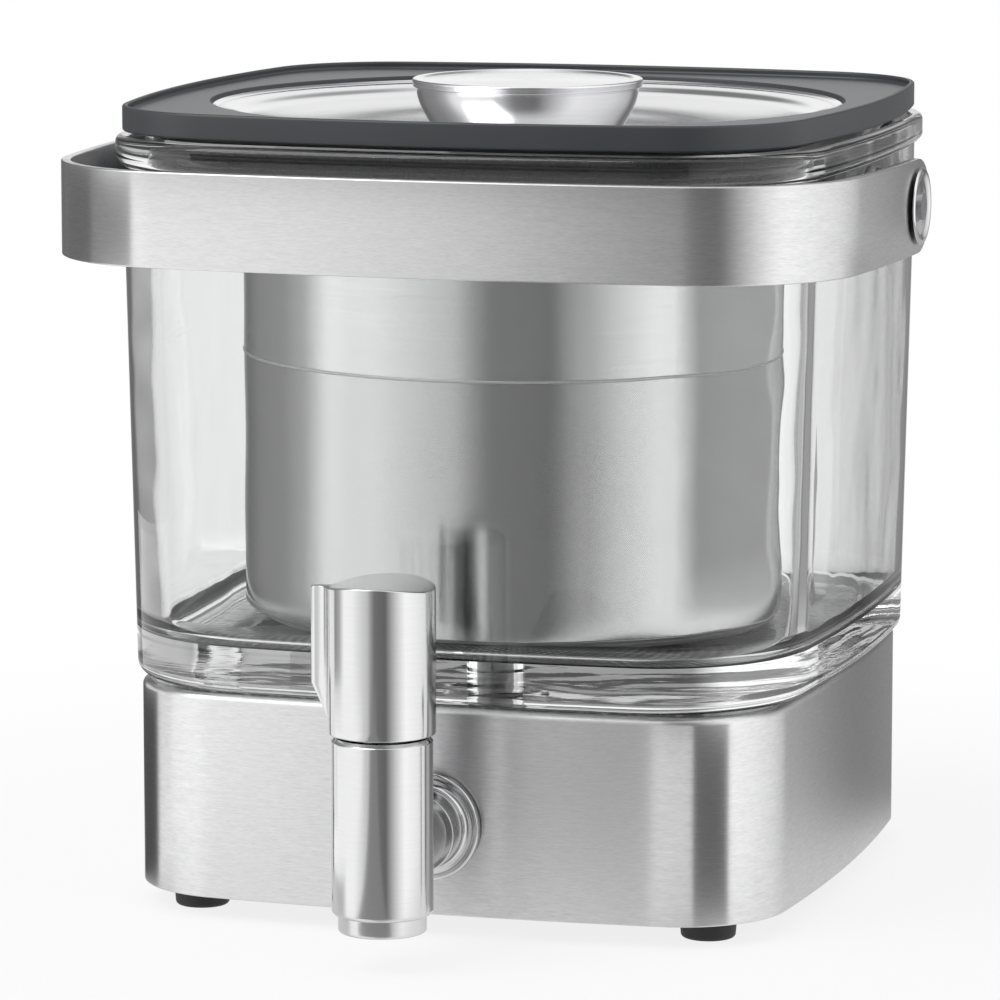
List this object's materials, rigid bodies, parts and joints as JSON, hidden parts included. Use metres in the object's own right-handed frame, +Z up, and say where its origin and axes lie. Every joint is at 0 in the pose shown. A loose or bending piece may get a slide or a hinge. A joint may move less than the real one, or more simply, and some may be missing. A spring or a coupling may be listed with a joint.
{
  "type": "cold brew coffee maker",
  "caption": "Square glass cold brew jar on a brushed steel base with a twist tap, a lift-out mesh steeper, a flat lid with a knob and a swing-up steel band handle.",
  "frame": {"origin": "on the surface that the feet stand on, under the centre of the footprint box", "axes": "+Z up, -Y towards the front with the tap, +X to the right seen from the front"},
  "size_m": [0.2516, 0.2748, 0.241],
  "materials": {
    "steel_brushed": "brushed",
    "steel_polished": "polished",
    "steel_mesh": "fine mesh",
    "steel_strap": "satin",
    "steel_hardware": "plated",
    "glass_clear": "clear pressed glass",
    "plastic_graphite": "fine satin",
    "plastic_base": "matt",
    "rubber_black": "matt",
    "silicone_smoke": "matt"
  },
  "bodies": {
    "stand": {"base_shell": "steel_brushed", "tap_body": "steel_brushed", "tap_nozzle": "steel_brushed", "tap_flange": "steel_brushed", "pivot_cap_left": "steel_polished", "pivot_cap_right": "steel_polished", "neck_strap": "steel_strap", "strap_screw": "steel_strap", "strap_nut": "steel_strap", "pivot_stud_left": "steel_strap", "pivot_stud_right": "steel_strap", "foot_screws": "steel_hardware", "drain_bolt": "steel_hardware", "drain_nut": "steel_hardware", "tap_nut": "steel_hardware", "glass_jar": "glass_clear", "base_frame": "plastic_base", "base_floor": "plastic_base", "drain_elbow": "plastic_base", "foot_front_left": "rubber_black", "foot_front_right": "rubber_black", "foot_rear_left": "rubber_black", "foot_rear_right": "rubber_black", "tap_gasket": "rubber_black", "seat_pad": "silicone_smoke", "drain_washer": "silicone_smoke"},
    "handle": {"carry_handle": "steel_brushed", "handle_spacer_left": "plastic_graphite", "handle_spacer_right": "plastic_graphite"},
    "tap_handle": {"tap_grip": "steel_brushed", "tap_valve": "steel_hardware", "tap_oring": "rubber_black", "grip_set_screw": "steel_hardware"},
    "lid": {"lid_frame": "plastic_graphite", "lid_dish": "steel_polished", "lid_plug": "plastic_graphite", "lid_seal": "silicone_smoke", "lid_knob": "steel_polished", "knob_washer": "steel_hardware", "knob_screw": "steel_hardware"},
    "steeper": {"steeper_wall": "steel_brushed", "steeper_mesh": "steel_mesh", "steeper_ring": "steel_brushed", "steeper_floor": "steel_mesh", "steeper_rim": "steel_brushed", "bail_eye_left": "steel_polished", "bail_eye_right": "steel_polished"},
    "bail": {"steeper_bail": "steel_polished"}
  },
  "joints": [
    {"name": "handle_swing", "type": "hinge", "parent": "stand", "child": "handle", "pos_m": [0, 0.00885, 0.2072], "axis": [-1, 0, 0], "range_deg": [0, 90]},
    {"name": "tap_turn", "type": "hinge", "parent": "stand", "child": "tap_handle", "pos_m": [0, -0.12225, 0.067], "axis": [0, 0, 1], "range_deg": [0, 90]},
    {"name": "lid_lift", "type": "slide", "parent": "stand", "child": "lid", "axis": [0, 0, 1], "range_m": [0, 0.45]},
    {"name": "steeper_lift", "type": "slide", "parent": "stand", "child": "steeper", "axis": [0, 0, 1], "range_m": [0, 0.27]},
    {"name": "bail_swing", "type": "hinge", "parent": "steeper", "child": "bail", "pos_m": [0, 0.02205, 0.206], "axis": [1, 0, 0], "range_deg": [0, 90]}
  ],
  "couplings": [
    {"joint": "steeper_lift", "follows": "lid_lift", "ratio": 0.6},
    {"joint": "bail_swing", "follows": "lid_lift", "rad_per_m": 3.49}
  ]
}
